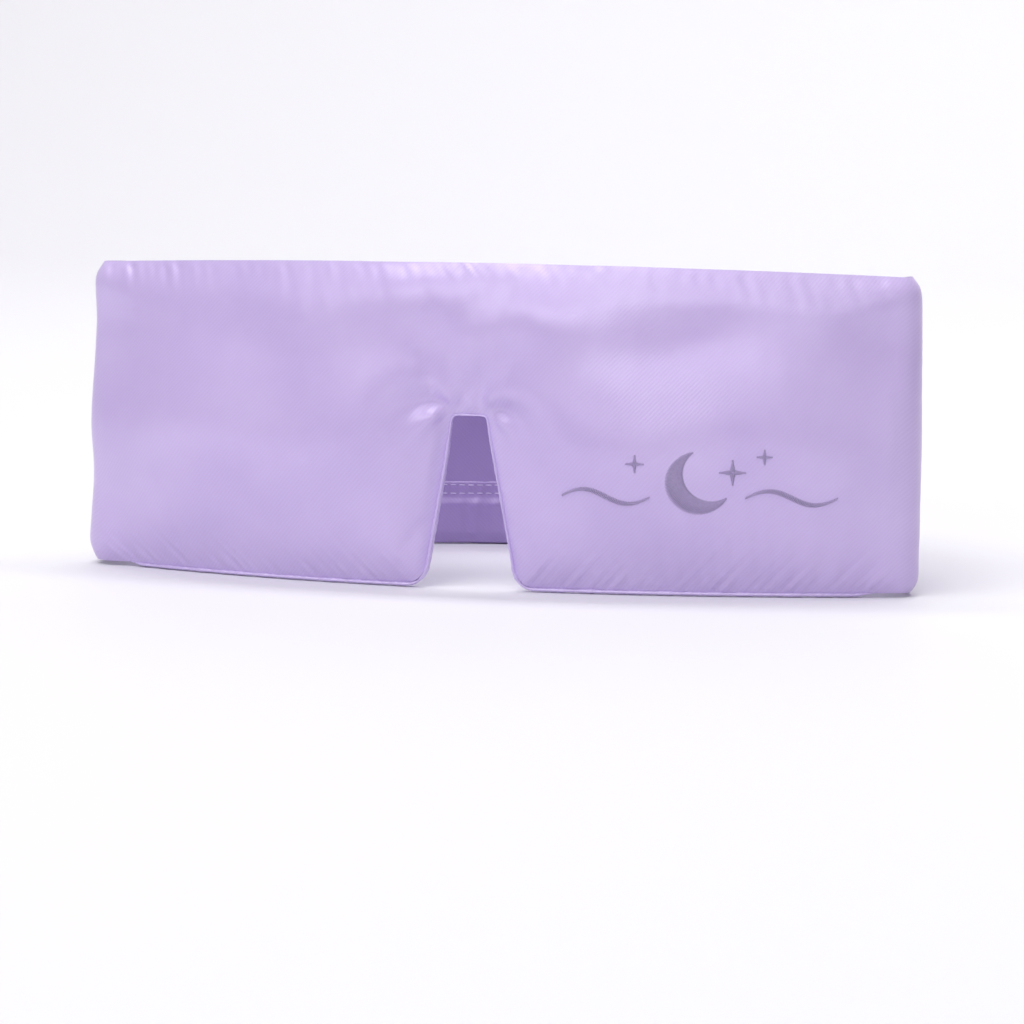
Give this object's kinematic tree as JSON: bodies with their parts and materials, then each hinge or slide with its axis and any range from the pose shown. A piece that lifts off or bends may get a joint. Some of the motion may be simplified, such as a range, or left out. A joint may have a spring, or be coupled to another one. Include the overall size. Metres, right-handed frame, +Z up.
{
  "type": "sleep mask",
  "caption": "Padded wrap-around sleep mask standing as a loop: deep front panel with a nose notch, side wings, straps with elastic casings, and a lapped hook-and-loop flap at the back.",
  "frame": {"origin": "centre of the bounding box's bottom face, on the surface the mask stands on", "axes": "+Z up, front panel facing -Y, +X along the front towards the embroidered side"},
  "size_m": [0.25, 0.1158, 0.0932],
  "materials": {
    "satin": "satin",
    "lining_satin": "satin",
    "wadding": "matte",
    "blackout_cloth": "matte",
    "elastic": "matte",
    "hook_tape": "matte",
    "loop_tape": "matte",
    "sewing_thread": "satin",
    "embroidery_thread": "satin",
    "label_satin": "satin"
  },
  "bodies": {
    "front": {"front_cover": "satin", "blackout_layer": "blackout_cloth", "front_lining": "lining_satin", "left_eye_pad": "wadding", "right_eye_pad": "wadding", "brow_pad": "wadding", "left_edge_roll": "lining_satin", "right_edge_roll": "lining_satin", "notch_binding": "lining_satin", "embroidered_motif": "embroidery_thread"},
    "right_wing": {"right_wing_cover": "satin", "right_wing_padding": "wadding", "right_wing_lining": "lining_satin", "right_wing_fold_padding": "wadding"},
    "right_strap": {"right_strap_cover": "satin", "right_strap_padding": "wadding", "right_strap_lining": "lining_satin", "right_strap_fold_padding": "wadding", "right_lower_casing": "lining_satin", "right_lower_elastic": "elastic", "right_upper_casing": "lining_satin", "right_upper_elastic": "elastic", "right_casing_stitches": "sewing_thread"},
    "flap": {"flap_cover": "satin", "flap_padding": "wadding", "flap_lining": "lining_satin", "flap_fold_padding": "wadding", "hook_tape": "hook_tape", "hook_stitches": "sewing_thread"},
    "left_wing": {"left_wing_cover": "satin", "left_wing_padding": "wadding", "left_wing_lining": "lining_satin", "left_wing_fold_padding": "wadding", "care_label": "label_satin"},
    "left_strap": {"left_strap_cover": "satin", "left_strap_padding": "wadding", "left_strap_lining": "lining_satin", "left_strap_fold_padding": "wadding", "left_lower_casing": "lining_satin", "left_lower_elastic": "elastic", "left_upper_casing": "lining_satin", "left_upper_elastic": "elastic", "left_casing_stitches": "sewing_thread", "loop_tape": "loop_tape", "loop_stitches": "sewing_thread"}
  },
  "joints": [
    {"name": "right_fold", "type": "hinge", "parent": "front", "child": "right_wing", "pos_m": [0.123, -0.02945, 0.044], "axis": [0, 0, -1], "range_deg": [0, 95]},
    {"name": "right_bend", "type": "hinge", "parent": "right_wing", "child": "right_strap", "pos_m": [0.08764, 0.02375, 0.0425], "axis": [0, 0, -1], "range_deg": [0, 50]},
    {"name": "flap_peel", "type": "hinge", "parent": "right_strap", "child": "flap", "pos_m": [0.04213, 0.04898, 0.0425], "axis": [0, 0, -1], "range_deg": [0, 100]},
    {"name": "left_fold", "type": "hinge", "parent": "front", "child": "left_wing", "pos_m": [-0.123, -0.02945, 0.044], "axis": [0, 0, 1], "range_deg": [0, 38]},
    {"name": "left_bend", "type": "hinge", "parent": "left_wing", "child": "left_strap", "pos_m": [-0.08366, 0.019, 0.0425], "axis": [0, 0, 1], "range_deg": [0, 14.25]}
  ],
  "couplings": [
    {"joint": "left_fold", "follows": "right_fold", "ratio": 0.4},
    {"joint": "left_bend", "follows": "right_fold", "ratio": 0.15}
  ]
}
